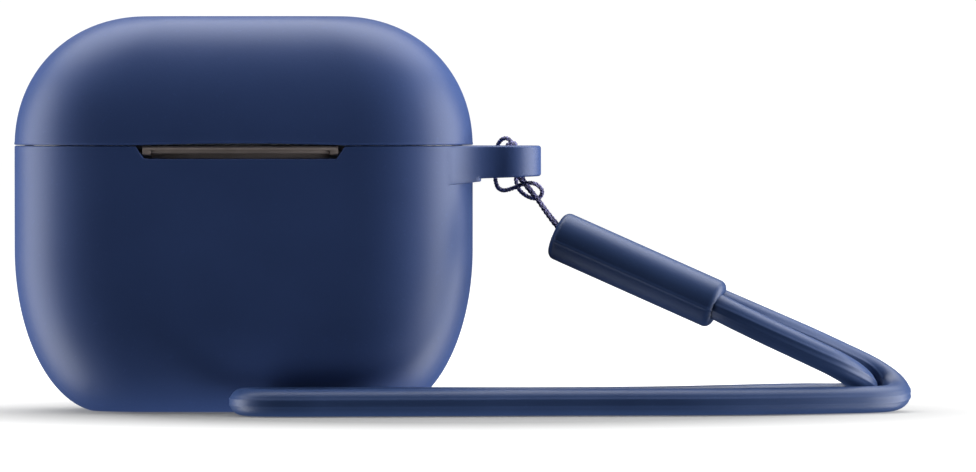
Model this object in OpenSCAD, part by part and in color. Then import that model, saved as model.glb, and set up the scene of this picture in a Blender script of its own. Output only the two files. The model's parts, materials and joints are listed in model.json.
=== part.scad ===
// Pocket charging case for stem earbuds, in a two-piece silicone sleeve with a wrist loop.
// +Z up, origin at the centre of the sleeve's flat foot, hinge side towards -Y, strap ring on +X.

/* [Charging case] */
// Width of the bare case
case_width = 54.4; // [45.3:0.1:65.3]
// Depth of the bare case
case_depth = 21.4; // [21:0.1:25.7]
// Height of the bare case
case_height = 46.45; // [44:0.05:56]
// Height of the lid's parting line above the bare case's foot
parting_height = 31.1; // [30:0.1:36]
// Wall of the case shells
case_wall = 1.5; // [1.3:0.05:1.7]
// Straight length of the case seen from above, as a share of its width
plan_flat = 0.5; // [0.45:0.05:0.6]
// Roundness of the case's ends seen from above (2 is a quarter ellipse)
plan_power = 2.2; // [2:0.1:2.6]

/* [Silicone sleeve] */
// Wall of the sleeve
sleeve_wall = 1.15; // [0.8:0.05:1.6]
// Gap between sleeve and case
sleeve_gap = 0.15; // [0.1:0.05:0.3]
// Height of the base sleeve's rim above the parting line
rim_above_parting = 0.4; // [0.2:0.05:0.6]
// Gap between the rims of the two sleeve pieces
rim_gap = 0.3; // [0.2:0.05:0.8]
// Outer radius of the strap ring
ring_radius = 4.6; // [4:0.1:6]
// Radius of the hole in the strap ring
ring_hole_radius = 2.5; // [2:0.1:3]
// Height of the strap ring
ring_height = 3.9; // [3:0.1:5]
// Distance from the sleeve's side to the middle of the ring
ring_reach = 3.9; // [3.5:0.1:6]
// Width of the charging port cut-out
cutout_width = 12.6; // [11.5:0.1:15]
// Depth of the charging port cut-out
cutout_depth = 6.4; // [5.5:0.1:7.4]

/* [Hinge] */
// Length of the hinge
hinge_length = 24; // [16:0.5:24]
// Depth of the slot under the parting line
slot_drop = 1.2; // [1:0.05:1.4]
// Distance of the hinge axis inside the sleeve's back face
hinge_inset = 0.55; // [0.5:0.05:0.6]
// Radius of the lid leaf's rolled edge
hinge_radius = 0.6; // [0.55:0.01:0.65]
// Radius of the hinge pin
pin_radius = 0.2; // [0.15:0.01:0.25]
// Thickness of the hinge leaves
leaf_thickness = 0.4; // [0.3:0.05:0.45]
// Height of the hinge leaves
leaf_height = 3.2; // [2:0.1:5]

/* [Earbuds] */
// Radius of an earbud's head
head_radius = 6.4; // [5.5:0.1:6.4]
// Height of the head's centre above the parting line
head_lift = 2.2; // [1.5:0.1:3]
// Radius of an earbud's stem
stem_radius = 2.9; // [2.4:0.1:3.1]
// Length of the stem below the head's centre
stem_drop = 24.2; // [19:0.1:24.2]
// Shell thickness of the earbuds
bud_wall = 0.8; // [0.6:0.05:1]

/* [Wrist strap] */
// Diameter of the silicone strap
strap_diameter = 3.3; // [2.5:0.1:3.3]
// Diameter of the hitch cord
cord_diameter = 0.55; // [0.4:0.05:0.6]
// Diameter of the grip that joins cord and strap
grip_diameter = 6.1; // [5.5:0.1:7.5]

/* [Hidden] */
$fn = 48;
over = 1;
fit = 0.1;
close_fit = 0.05;

// Insets of the nested skins, measured in from the sleeve's outside
skin_case = sleeve_wall + sleeve_gap;
skin_cavity = skin_case + case_wall;
half_width = case_width / 2 + skin_case;
half_depth = case_depth / 2 + skin_case;
full_height = case_height + 2 * skin_case;
parting = skin_case + parting_height;
parting_gap = 0.1;
base_rim = parting + rim_above_parting;
lid_rim = base_rim + rim_gap;

// Arcs of the outside: where they start and how wide the flats are that they end on
foot_arc_x = parting * 0.617;
foot_arc_y = parting * 0.4;
foot_cut = 0.2;
foot_flat_x = half_width - 11;
foot_flat_y = half_depth - 8.4;
top_arc = base_rim;
top_flat_x = half_width - 16.5;
top_flat_y = half_depth - 10;
top_power = 2.1;
end_steps = 24;
skin_sides = 2 * (end_steps + 1);
foot_steps = 9;
top_steps = 11;

function arc_share(u, power) = pow(max(0, 1 - pow(u, power)), 1 / power);
function foot_share(z, inset, centre) = arc_share((centre - z) / (centre + foot_cut - inset), 2);
function top_share(z, inset) = arc_share((z - top_arc) / (full_height - inset - top_arc), top_power);
function half_x(z, inset) =
    let (reach = half_width - inset)
    z < foot_arc_x ? foot_flat_x + (reach - foot_flat_x) * foot_share(z, inset, foot_arc_x)
    : z > top_arc ? top_flat_x + (reach - top_flat_x) * top_share(z, inset)
    : reach;
function half_y(z, inset) =
    let (reach = half_depth - inset)
    z < foot_arc_y ? foot_flat_y + (reach - foot_flat_y) * foot_share(z, inset, foot_arc_y)
    : z > top_arc ? top_flat_y + (reach - top_flat_y) * top_share(z, inset)
    : reach;
// Depth of a skin at a point x along it
function skin_y(x, z, inset) =
    half_y(z, inset) * arc_share(max(0, (abs(x) / half_x(z, inset) - plan_flat) / (1 - plan_flat)), plan_power);
// A point on one end of a plan, right (1) or left (-1), turning from the back to the front
function plan_point(side, turn, a, b) = [
    side * a * (plan_flat + (1 - plan_flat) * pow(abs(cos(turn)), 2 / plan_power)),
    b * sign(sin(turn)) * pow(abs(sin(turn)), 2 / plan_power)
];
function plan_ring(a, b) = [
    for (side = [1, -1], i = [0 : end_steps]) plan_point(side, side * (i * 180 / end_steps - 90), a, b)
];
function skin_ring(z, inset) = [for (p = plan_ring(half_x(z, inset), half_y(z, inset))) [p[0], p[1], z]];
function foot_levels(inset, end) =
    let (arc = foot_arc_x + foot_cut - inset, first = asin((foot_arc_x - inset) / arc))
    [for (i = [0 : foot_steps - 1]) foot_arc_x - arc * sin(first * (1 - i / (foot_steps - 1))), end];
function top_levels(inset, start) =
    let (arc = full_height - inset - top_arc)
    [start, for (i = [1 : top_steps]) top_arc + arc * pow(sin(90 * i / top_steps), 2 / top_power)];

// Faces of a tube of rings, each ring counter-clockwise seen from the far end
function ring_faces(rings, sides) = concat(
    [[for (i = [0 : sides - 1]) i]],
    [[for (i = [sides - 1 : -1 : 0]) (rings - 1) * sides + i]],
    [for (k = [0 : rings - 2], i = [0 : sides - 1]) let (j = (i + 1) % sides)
        [k * sides + i, (k + 1) * sides + i, (k + 1) * sides + j]],
    [for (k = [0 : rings - 2], i = [0 : sides - 1]) let (j = (i + 1) % sides)
        [k * sides + i, (k + 1) * sides + j, k * sides + j]]
);
module loft(levels, inset) {
    polyhedron(
        points = [for (z = levels, p = skin_ring(z, inset)) p],
        faces = ring_faces(len(levels), skin_sides)
    );
}
module lower_skin(inset, end) { loft(foot_levels(inset, end), inset); }
module upper_skin(inset, start) { loft(top_levels(inset, start), inset); }
module plan_plate(a, b, low, high) {
    translate([0, 0, low]) linear_extrude(high - low) polygon(plan_ring(a, b));
}
module slab(low, high) {
    translate(low) cube(high - low);
}
module stadium(width, depth) {
    square([width - depth, depth], center = true);
    for (side = [-1, 1]) translate([side * (width - depth) / 2, 0]) circle(depth / 2);
}
module round_rect(width, depth, corner) {
    square([width - 2 * corner, depth], center = true);
    square([width, depth - 2 * corner], center = true);
    for (a = [-1, 1], b = [-1, 1])
        translate([a * (width / 2 - corner), b * (depth / 2 - corner)]) circle(corner);
}
// Cylinder along X, about the hinge's axis
module hinge_round(radius, length) {
    translate([0, hinge_y, hinge_z]) rotate([0, 90, 0]) cylinder(r = radius, h = length, center = true);
}

// Hinge
hinge_y = hinge_inset - half_depth;
hinge_z = parting;
slot_bottom = parting - slot_drop;
slot_half = hinge_length / 2 + 0.2;
slot_chamfer = 1.2;
barrel_radius = hinge_radius - 0.18;
knuckle = 1;
leaf_face_y = -(half_depth - skin_case) + 0.55;
leaf_half = hinge_length / 2 - knuckle - fit;
lid_floor = parting + parting_gap / 2;
body_ceiling = parting - parting_gap / 2;

// Wells and earbuds
head_z = parting + head_lift;
pocket_radius = head_radius + 0.9;
well_gap = 0.2;
well_wall = 0.9;
tube_radius = stem_radius + well_gap + well_wall;
stem_bottom = head_z - stem_drop;
tube_bottom = stem_bottom - 1;
stem_x = half_x(tube_bottom, skin_cavity) - tube_radius - 3.8;
head_x = stem_x - 2.8;
deck_top = body_ceiling - 0.1;
deck_thickness = 1.2;
cap_height = 2;

// Inside of the body
cavity_floor = skin_cavity;
port_width = 8.9;
port_depth = 3.2;
port_length = 7.2;
port_wall = 0.3;
port_bottom = skin_case + 0.05;
tongue_width = 6.6;
tongue_thickness = 0.7;
cell_gap = 0.5;
cell_half = stem_x - tube_radius - cell_gap;
cell_depth = 8.4;
cell_low = port_bottom + port_length + 0.8;
cell_high = head_z - pocket_radius - 3;
board_thickness = 0.8;
board_half = 8.5;
button_z = parting * 0.555;
button_radius = 2.5;
button_travel = 0.3;
button_flange = 0.7;
board_y = -(half_depth - skin_cavity) + 1.6;
button_switch_height = board_y + skin_y(0, button_z, skin_case) - close_fit
    - case_wall - 0.35 - 0.4 - button_travel - fit;
coil_z = button_z;
coil_radius = 9;
coil_hole = 4.5;
coil_thickness = 0.6;
coil_y = half_depth - skin_cavity - 1.5;
light_z = parting - 6.4;
light_radius = 0.7;
magnet_x = 6;

// Strap ring
ring_x = half_width + ring_reach;
ring_top = base_rim;
ring_low = ring_top - ring_height;

// Route of the wrist strap, from inside the grip, round the floor loop and back
strap_route = [
    [56.4, -6.4, 14.8], [60.4, -6, 13.1], [65, -5, 11.1], [70, -3.2, 8.9], [74.5, -1.2, 6.8],
    [78, -0.2, 5.1], [80.4, -1, 3.5], [81.2, -3.4, 2.3], [80.3, -6, 1.8], [77.8, -8.2, 1.7],
    [74, -10, 1.7], [69, -11.8, 1.7], [62.5, -13.6, 1.7], [56, -14.8, 1.7], [50, -15.2, 1.7],
    [44, -15.4, 1.7], [36, -16, 1.7], [28, -16.8, 1.7], [20, -17.4, 1.7], [12, -18, 1.7],
    [8, -18.4, 1.7], [4.2, -18.3, 1.7], [1.5, -17.2, 1.7], [0.4, -14.5, 1.7], [1.5, -11.8, 1.7],
    [4.2, -10.7, 1.7], [8, -10.6, 1.7], [12, -10.8, 1.7], [20, -10.9, 1.7], [28, -11.1, 1.7], [36, -11.1, 1.7], [44, -10.4, 1.7],
    [52, -8.4, 1.7], [59, -5, 1.7], [65, -1.6, 1.7], [70, 0.4, 1.7], [74.2, 0.4, 1.7],
    [76.2, -1.2, 2], [77, -4, 3], [75.9, -6.6, 4.4], [73.4, -8.4, 6], [69.5, -9.4, 7.9],
    [64.6, -9.8, 10.2], [60.2, -9.8, 12.2], [56.2, -9.8, 14]
];
// Route of the hitch cord: a leg out of the grip, up through the ring, over its rear wall, round
// both legs as a bight, and back the same way
cord_route = [
    [41.4, -4.6, 21.3], [39.2, -4.2, 22.7], [37.8, -3.4, 24.4], [36.7, -2.4, 26], [35.8, -1.8, 27.1],
    [34.9, -1.3, 28.2], [33.9, -0.7, 29.5], [33.6, -0.2, 31], [33.5, 0.5, 32.4], [33.3, 1.3, 33.4],
    [32.7, 2.4, 33.85], [32, 3.7, 33.6], [31.5, 4.95, 32.6], [31.4, 5.1, 31], [31.3, 4.7, 29.1],
    [31.5, 3.4, 28], [31.9, 1.6, 27.5], [32.6, -0.4, 27.4], [33.8, -2, 27.8], [35.1, -2.8, 28.3],
    [36.3, -2.8, 28.2], [37.1, -1.9, 27.4], [36.9, -0.6, 26.6], [36, 0.5, 26.4], [35, 1.7, 26.8],
    [34.2, 3.1, 27.6], [33.9, 4.6, 28.8], [33.9, 5, 30.8], [33.95, 5, 32.4], [33.75, 4.2, 33.2],
    [33.3, 3.1, 33.2], [32.85, 2.2, 33], [32.55, 1.5, 32.3], [32.7, 0.9, 31.3], [33.4, 0.45, 30.4],
    [34.3, 0, 29.6], [35.1, -0.5, 28.3], [36, -1.1, 27.1], [37, -1.7, 25.8], [38.2, -2.6, 24.2],
    [39.6, -3.4, 22.8], [41.8, -3.9, 21.6]
];
grip_start = [39, -4, 21.7];
grip_end = [58.8, -8, 13.2];
strap_sides = 8;
cord_sides = 8;

// Points of a smooth curve through a route, with some steps to each stretch
function knot(route, i) = route[min(max(i, 0), len(route) - 1)];
function curve_point(a, b, c, d, t) =
    (2 * b + (c - a) * t + (2 * a - 5 * b + 4 * c - d) * t * t + (3 * b - a - 3 * c + d) * t * t * t) / 2;
function curve(route, steps) = [
    for (i = [0 : len(route) - 2], k = [0 : steps - 1])
        curve_point(knot(route, i - 1), route[i], route[i + 1], knot(route, i + 2), k / steps),
    route[len(route) - 1]
];
function unit(v) = v / norm(v);
function heading(path, i) = unit(knot(path, i + 1) - knot(path, i - 1));
function turned(side, way) = unit(side - (side * way) * way);
function tube_points(path, radius, sides) = [
    for (
        i = 0, side = turned([0, 1, 0], heading(path, 0));
        i < len(path);
        i = i + 1, side = i < len(path) ? turned(side, heading(path, i)) : side
    )
        for (k = [0 : sides - 1])
            let (other = cross(heading(path, i), side))
            path[i] + radius * (cos(k * 360 / sides) * side + sin(k * 360 / sides) * other)
];
module tube(path, diameter, sides) {
    polyhedron(
        points = tube_points(path, diameter / 2, sides),
        faces = ring_faces(len(path), sides)
    );
}

// ---- Silicone sleeve and strap ----

// Neck of the ring, flaring into the sleeve's side, and the ring's own rounded section
module ring_tab() {
    edge = 1;
    flare_x = half_width - 2.2;
    translate([0, 0, ring_low]) linear_extrude(ring_height)
        polygon([
            [flare_x - 3, -7], [flare_x, -6.5], [ring_x - 3, -3.9], [ring_x, -3.4],
            [ring_x, 3.4], [ring_x - 3, 3.9], [flare_x, 6.5], [flare_x - 3, 7]
        ]);
    translate([ring_x, 0, ring_low]) rotate_extrude() {
        translate([0, edge]) square([ring_radius, ring_height - edge]);
        square([ring_radius - edge, ring_height]);
        translate([ring_radius - edge, edge]) circle(edge);
    }
}

// Hole in the ring, with its edges broken
module ring_hole() {
    edge = 0.3;
    translate([ring_x, 0, 0]) {
        translate([0, 0, ring_low - over]) cylinder(r = ring_hole_radius, h = ring_height + 2 * over);
        translate([0, 0, ring_low - fit])
            cylinder(r1 = ring_hole_radius + edge + fit, r2 = ring_hole_radius, h = edge + fit);
        translate([0, 0, ring_top - edge])
            cylinder(r1 = ring_hole_radius, r2 = ring_hole_radius + edge + fit, h = edge + fit);
    }
}

module hinge_slot() {
    translate([0, hinge_y + 3, 0]) rotate([90, 0, 0]) linear_extrude(6)
        polygon([
            [-slot_half, slot_bottom], [slot_half, slot_bottom],
            [slot_half + slot_chamfer, base_rim], [slot_half + slot_chamfer, base_rim + over],
            [-slot_half - slot_chamfer, base_rim + over], [-slot_half - slot_chamfer, base_rim]
        ]);
}

module sleeve_base() {
    color([0.08, 0.12, 0.24]) difference() {
        union() {
            lower_skin(0, base_rim);
            ring_tab();
        }
        lower_skin(sleeve_wall, base_rim + over);
        hinge_slot();
        ring_hole();
        translate([0, 0, -over]) linear_extrude(sleeve_wall + 2 * over) stadium(cutout_width, cutout_depth);
        translate([0, half_depth - 2 * sleeve_wall, light_z]) rotate([-90, 0, 0])
            cylinder(r = light_radius + 0.5, h = 3 * sleeve_wall);
    }
}

module sleeve_lid() {
    color([0.08, 0.12, 0.24]) difference() {
        upper_skin(0, lid_rim);
        upper_skin(sleeve_wall, lid_rim - over);
    }
}

module hitch_cord() {
    color([0.16, 0.17, 0.3]) tube(cord_route, cord_diameter, cord_sides);
}

module strap_grip() {
    along = grip_end - grip_start;
    edge = 1.2;
    radius = grip_diameter / 2;
    reach = norm(along);
    color([0.08, 0.12, 0.24]) translate(grip_start)
        rotate([0, acos(along[2] / reach), atan2(along[1], along[0])]) rotate_extrude() {
            square([radius - edge, reach]);
            translate([0, edge]) square([radius, reach - 2 * edge]);
            for (z = [edge, reach - edge]) translate([radius - edge, z]) circle(edge);
        }
}

module wrist_strap() {
    color([0.1, 0.15, 0.28]) tube(strap_route, strap_diameter, strap_sides);
}

// ---- Charging case body ----

// Pocket for a hinge leaf in the back wall, between two heights
module leaf_pocket(low, high) {
    slab(
        [-leaf_half - close_fit, leaf_face_y - close_fit, low],
        [leaf_half + close_fit, leaf_face_y + leaf_thickness + close_fit, high]
    );
}
// Notch that lets a leaf's web out through the back wall
module web_notch(low, high) {
    slab(
        [-leaf_half - close_fit, -half_depth, low],
        [leaf_half + close_fit, leaf_face_y + leaf_thickness + close_fit, high]
    );
}

module case_shell() {
    color([0.93, 0.93, 0.94]) difference() {
        lower_skin(skin_case, body_ceiling);
        lower_skin(skin_cavity, body_ceiling + over);
        leaf_pocket(parting - leaf_height - close_fit, parting + over);
        web_notch(hinge_z - barrel_radius - close_fit, parting + over);
        translate([0, 0, skin_case - over]) linear_extrude(case_wall + 2 * over)
            stadium(port_width + 2 * close_fit, port_depth + 2 * close_fit);
        translate([0, skin_case - half_depth - over, button_z]) rotate([-90, 0, 0])
            cylinder(r = button_radius + fit, h = case_wall + 2 * over);
        translate([0, half_depth - skin_cavity - over, light_z]) rotate([-90, 0, 0])
            cylinder(r = light_radius + close_fit, h = case_wall + 2 * over);
    }
}

module per_side() {
    children();
    mirror([1, 0, 0]) children();
}

module earbud_tray() {
    rim = 0.15;
    deck_low = deck_top - deck_thickness;
    color([0.9, 0.9, 0.91]) difference() {
        union() {
            plan_plate(
                half_x(deck_low, skin_cavity) - rim, half_y(deck_low, skin_cavity) - rim, deck_low, deck_top
            );
            per_side() {
                intersection() {
                    translate([head_x, 0, head_z]) sphere(head_radius + well_gap + well_wall);
                    slab([0.2, -half_depth, 0], [half_width, half_depth, deck_top]);
                }
                translate([stem_x, 0, tube_bottom]) cylinder(r = tube_radius, h = deck_low - tube_bottom);
            }
        }
        per_side() {
            translate([head_x, 0, head_z]) sphere(head_radius + well_gap);
            translate([stem_x, 0, stem_bottom - well_gap])
                cylinder(r = stem_radius + well_gap, h = deck_top + over - stem_bottom);
            for (y = [-1, 1]) translate([stem_x, y * 1.2, tube_bottom - over])
                cylinder(r = 0.5, h = 3 * over);
        }
    }
}

module hinge_body_leaf() {
    apron = 0.5;
    color([0.35, 0.35, 0.38]) difference() {
        union() {
            hinge_round(barrel_radius, 2 * leaf_half);
            slab([-leaf_half, leaf_face_y, parting - leaf_height],
                [leaf_half, leaf_face_y + leaf_thickness, body_ceiling]);
            slab([-leaf_half, hinge_y, hinge_z - barrel_radius],
                [leaf_half, leaf_face_y + leaf_thickness, hinge_z - fit]);
            slab([-leaf_half, hinge_y + 0.15, slot_bottom + fit],
                [leaf_half, hinge_y + 0.15 + 0.2, hinge_z - barrel_radius + close_fit]);
        }
        hinge_round(pin_radius + 0.01, hinge_length);
    }
}

module hinge_pin() {
    color([0.7, 0.7, 0.72]) hinge_round(pin_radius, hinge_length - 2 * fit);
}

module battery_pack() {
    color([0.2, 0.2, 0.22]) translate([0, 0, cell_low])
        linear_extrude(cell_high - cell_low) round_rect(2 * cell_half, cell_depth, 1.5);
}

module main_board() {
    color([0.05, 0.35, 0.2]) translate([0, board_y + board_thickness, 0]) rotate([90, 0, 0])
        linear_extrude(board_thickness) translate([0, (cell_low + cell_high) / 2])
            round_rect(2 * board_half, cell_high - cell_low, 1);
}

module charge_port() {
    color([0.75, 0.75, 0.77]) translate([0, 0, port_bottom]) {
        difference() {
            linear_extrude(port_length) stadium(port_width, port_depth);
            translate([0, 0, -over]) linear_extrude(port_length + over - 2 * port_wall)
                stadium(port_width - 2 * port_wall, port_depth - 2 * port_wall);
        }
        translate([-tongue_width / 2, -tongue_thickness / 2, 1.2])
            cube([tongue_width, tongue_thickness, port_length - 1.2 - port_wall]);
    }
}

module disc_on_front(radius, hole, thickness, y) {
    translate([0, y, coil_z]) rotate([-90, 0, 0]) difference() {
        cylinder(r = radius, h = thickness);
        translate([0, 0, -over]) cylinder(r = hole, h = thickness + 2 * over);
    }
}

module charge_coil() {
    color([0.72, 0.4, 0.2]) disc_on_front(coil_radius, coil_hole, coil_thickness, coil_y);
}

module ferrite_sheet() {
    sheet = 0.4;
    color([0.25, 0.25, 0.26]) translate([0, coil_y - sheet - close_fit, coil_z]) rotate([-90, 0, 0])
        cylinder(r = coil_radius + 0.5, h = sheet);
}

module status_light() {
    color([0.95, 0.9, 0.8]) translate([0, half_depth - skin_cavity - 0.4, light_z]) rotate([-90, 0, 0])
        cylinder(r = light_radius, h = case_wall + 0.3);
}

module setup_button() {
    face = -skin_y(0, button_z, skin_case) + close_fit;
    inner = face + case_wall + 0.35;
    color([0.9, 0.9, 0.91]) translate([0, 0, button_z]) rotate([-90, 0, 0]) {
        translate([0, 0, face]) cylinder(r = button_radius, h = inner - face);
        translate([0, 0, inner]) cylinder(r = button_radius + 0.6, h = 0.4);
    }
}

module button_switch() {
    color([0.6, 0.6, 0.62]) translate([0, 0, button_z])
        slab([-1.5, board_y - button_switch_height, -1.5], [1.5, board_y - close_fit, 1.5]);
}
// Two magnets beside the middle of the front rim, between two heights
module magnet_pair(low, high) {
    y = skin_y(magnet_x + 2, parting, skin_cavity) - 0.7;
    for (side = [-1, 1]) slab([side * magnet_x - 2, y - 1.6, low], [side * magnet_x + 2, y, high]);
}

module tray_magnets() {
    top = deck_top - deck_thickness - close_fit;
    color([0.55, 0.55, 0.58]) magnet_pair(top - 2, top);
}

module contact_boards() {
    color([0.05, 0.35, 0.2]) for (side = [-1, 1])
        slab([side * stem_x - 3, -3, tube_bottom - 1.2], [side * stem_x + 3, 3, tube_bottom - 0.4]);
}

module charge_contacts() {
    color([0.85, 0.7, 0.35]) for (side = [-1, 1], y = [-1, 1])
        translate([side * stem_x, y * 1.2, tube_bottom - 0.35])
            cylinder(r = 0.35, h = stem_bottom - tube_bottom + 0.3);
}

// ---- Lid ----

module lid_shell() {
    color([0.93, 0.93, 0.94]) difference() {
        upper_skin(skin_case, lid_floor);
        upper_skin(skin_cavity, lid_floor - over);
        leaf_pocket(parting - over, parting + leaf_height + close_fit);
        web_notch(parting - over, hinge_z + hinge_radius + close_fit);
    }
}

module lid_liner() {
    rim = 0.15;
    plate = 1.1;
    low = lid_floor + 0.1;
    color([0.9, 0.9, 0.91]) difference() {
        union() {
            plan_plate(
                half_x(low + plate, skin_cavity) - rim, half_y(low + plate, skin_cavity) - rim, low, low + plate
            );
            intersection() {
                per_side() intersection() {
                    translate([head_x, 0, head_z]) sphere(pocket_radius + well_wall);
                    slab([0.2, -half_depth, low], [half_width, half_depth, full_height]);
                }
                upper_skin(skin_cavity + fit, low);
            }
        }
        per_side() {
            translate([head_x, 0, head_z]) sphere(pocket_radius);
            translate([head_x, 0, parting]) cylinder(r = pocket_radius, h = head_z - parting);
        }
    }
}

module hinge_lid_leaf() {
    color([0.4, 0.4, 0.43]) difference() {
        union() {
            intersection() {
                hinge_round(hinge_radius, hinge_length);
                slab([-hinge_length, hinge_y - 2, hinge_z + close_fit],
                    [hinge_length, hinge_y + 2, hinge_z + 2]);
            }
            for (side = [-1, 1]) translate([side * (hinge_length - knuckle) / 2, 0, 0])
                hinge_round(hinge_radius, knuckle);
            slab([-leaf_half, hinge_y, lid_floor],
                [leaf_half, leaf_face_y + leaf_thickness, hinge_z + hinge_radius]);
            slab([-leaf_half, leaf_face_y, lid_floor],
                [leaf_half, leaf_face_y + leaf_thickness, parting + leaf_height]);
        }
        hinge_round(barrel_radius + close_fit, 2 * (leaf_half + fit));
        hinge_round(pin_radius + close_fit, hinge_length + 2 * over);
    }
}

module lid_magnets() {
    low = lid_floor + 1.3;
    color([0.55, 0.55, 0.58]) magnet_pair(low, low + 2);
}

// ---- Earbuds, made for the +X side ----

module bud_head() {
    nozzle = 2.6;
    difference() {
        union() {
            translate([head_x, 0, head_z]) sphere(head_radius);
            translate([stem_x, 0, head_z - head_radius]) cylinder(r = stem_radius, h = head_radius);
        }
        translate([head_x, 0, head_z]) sphere(head_radius - bud_wall);
        translate([stem_x, 0, head_z - head_radius - over])
            cylinder(r = stem_radius - bud_wall, h = head_radius + over);
        translate([head_x, 0, head_z]) rotate([0, -60, 0]) cylinder(r = nozzle, h = head_radius + over);
        translate([head_x, 0, head_z]) rotate([-50, 0, 0])
            linear_extrude(head_radius + over) stadium(3, 1.4);
    }
}

module bud_stem() {
    low = stem_bottom + cap_height;
    translate([stem_x, 0, low]) difference() {
        cylinder(r = stem_radius, h = head_z - head_radius - low - 0.02);
        translate([0, 0, bud_wall]) cylinder(r = stem_radius - bud_wall, h = stem_drop);
    }
}

module bud_contact_cap() {
    edge = 1;
    translate([stem_x, 0, stem_bottom]) rotate_extrude() {
        square([stem_radius - edge, cap_height - 0.02]);
        translate([0, edge]) square([stem_radius, cap_height - edge - 0.02]);
        translate([stem_radius - edge, edge]) circle(edge);
    }
}

// A disc square to the nozzle, from one distance from the head's centre to another
module nozzle_disc(radius, from, to) {
    translate([head_x, 0, head_z]) rotate([0, -60, 0]) translate([0, 0, from])
        cylinder(r = radius, h = to - from);
}

module bud_driver() { nozzle_disc(4.2, -0.8, 1.6); }
module bud_grille() { nozzle_disc(2.6 - close_fit, head_radius - 1.1, head_radius - 0.7); }
module bud_cell() {
    translate([stem_x, 0, stem_bottom + cap_height + bud_wall + 1])
        cylinder(r = stem_radius - bud_wall - fit, h = 11);
}
module bud_sensor_window() {
    translate([head_x, 0, head_z]) rotate([-50, 0, 0]) translate([0, 0, head_radius - bud_wall])
        linear_extrude(0.5) stadium(3 - 2 * close_fit, 1.4 - 2 * close_fit);
}

white = [0.95, 0.95, 0.96];
module right_head() { color(white) bud_head(); }
module right_stem() { color(white) bud_stem(); }
module right_driver() { color([0.3, 0.3, 0.32]) bud_driver(); }
module right_grille() { color([0.15, 0.15, 0.16]) bud_grille(); }
module right_cell() { color([0.2, 0.3, 0.5]) bud_cell(); }
module right_contact_cap() { color([0.75, 0.75, 0.78]) bud_contact_cap(); }
module right_sensor_window() { color([0.06, 0.06, 0.07]) bud_sensor_window(); }
module left_head() { mirror([1, 0, 0]) right_head(); }
module left_stem() { mirror([1, 0, 0]) right_stem(); }
module left_driver() { mirror([1, 0, 0]) right_driver(); }
module left_grille() { mirror([1, 0, 0]) right_grille(); }
module left_cell() { mirror([1, 0, 0]) right_cell(); }
module left_contact_cap() { mirror([1, 0, 0]) right_contact_cap(); }
module left_sensor_window() { mirror([1, 0, 0]) right_sensor_window(); }

sleeve_base();
sleeve_lid();
hitch_cord();
strap_grip();
wrist_strap();
case_shell();
earbud_tray();
hinge_body_leaf();
hinge_pin();
battery_pack();
main_board();
charge_port();
charge_coil();
ferrite_sheet();
status_light();
setup_button();
button_switch();
tray_magnets();
contact_boards();
charge_contacts();
lid_shell();
lid_liner();
hinge_lid_leaf();
lid_magnets();
left_head();
left_stem();
left_driver();
left_grille();
left_cell();
left_contact_cap();
left_sensor_window();
right_head();
right_stem();
right_driver();
right_grille();
right_cell();
right_contact_cap();
right_sensor_window();
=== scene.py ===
"""Wireless earbuds case in a silicone sleeve with a wrist strap, built around its mechanical frame."""

import json
import math

import bmesh
import bpy
from mathutils import Matrix, Vector


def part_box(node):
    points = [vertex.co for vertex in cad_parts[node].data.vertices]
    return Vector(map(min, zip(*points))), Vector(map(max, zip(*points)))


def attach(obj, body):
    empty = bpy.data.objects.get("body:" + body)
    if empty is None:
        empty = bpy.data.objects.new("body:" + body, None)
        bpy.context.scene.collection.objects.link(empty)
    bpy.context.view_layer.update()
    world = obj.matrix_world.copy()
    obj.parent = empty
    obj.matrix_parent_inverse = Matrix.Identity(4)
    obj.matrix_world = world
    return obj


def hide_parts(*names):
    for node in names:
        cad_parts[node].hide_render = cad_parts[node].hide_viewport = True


bl_info = {
    "name": "Sleeved Earbuds Case",
    "version": (1, 0, 0),
    "blender": (4, 5, 0),
    "location": "View3D > Sidebar > Earbuds Case",
    "description": "Builds a charging case for earbuds with its silicone sleeve and wrist strap",
    "category": "Object",
}

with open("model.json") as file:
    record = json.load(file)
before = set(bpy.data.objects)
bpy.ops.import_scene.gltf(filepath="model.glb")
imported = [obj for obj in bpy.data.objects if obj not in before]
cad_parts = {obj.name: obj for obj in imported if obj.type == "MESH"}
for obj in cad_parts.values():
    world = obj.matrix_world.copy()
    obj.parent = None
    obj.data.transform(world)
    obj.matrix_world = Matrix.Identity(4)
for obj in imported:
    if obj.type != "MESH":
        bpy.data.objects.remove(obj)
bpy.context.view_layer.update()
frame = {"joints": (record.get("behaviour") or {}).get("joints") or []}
MM = 0.001


def box_of(node):
    """Lowest and highest corners of a CAD piece, in millimetres."""
    return tuple(Vector(corner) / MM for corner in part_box(node))


def middle_height(node):
    """Height of a CAD piece's middle, in millimetres."""
    low, high = box_of(node)
    return (low.z + high.z) / 2


# ---------------------------------------------------------------- sizes that follow the frame

BASE_LOW, BASE_HIGH = box_of("sleeve_base")
LID_LOW, LID_HIGH = box_of("sleeve_lid")
SHELL_LOW, SHELL_HIGH = box_of("case_shell")
HALF_WIDTH = -BASE_LOW.x
HALF_DEPTH = BASE_HIGH.y
FULL_HEIGHT = LID_HIGH.z
PARTING = next(j for j in frame["joints"] if j["name"] == "lid_hinge")["pos_m"][2] / MM
BASE_RIM = BASE_HIGH.z
LID_RIM = LID_LOW.z
CASE_INSET = SHELL_LOW.z
HINGE_HALF = box_of("hinge_lid_leaf")[1].x
# The slot in the base sleeve's rim, behind the hinge
SLOT_HALF = HINGE_HALF - 0.2
SLOT_CHAMFER = 1.1
SLOT_BOTTOM = PARTING - 1.0
# How far the base's rim and the lid's edge come towards each other, so the seam looks closed
SEAM_CLOSE = 0.17
LID_CLOSE = 0.05
LID_BOW = 0.22
LIP_HEIGHT = 0.45
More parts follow.
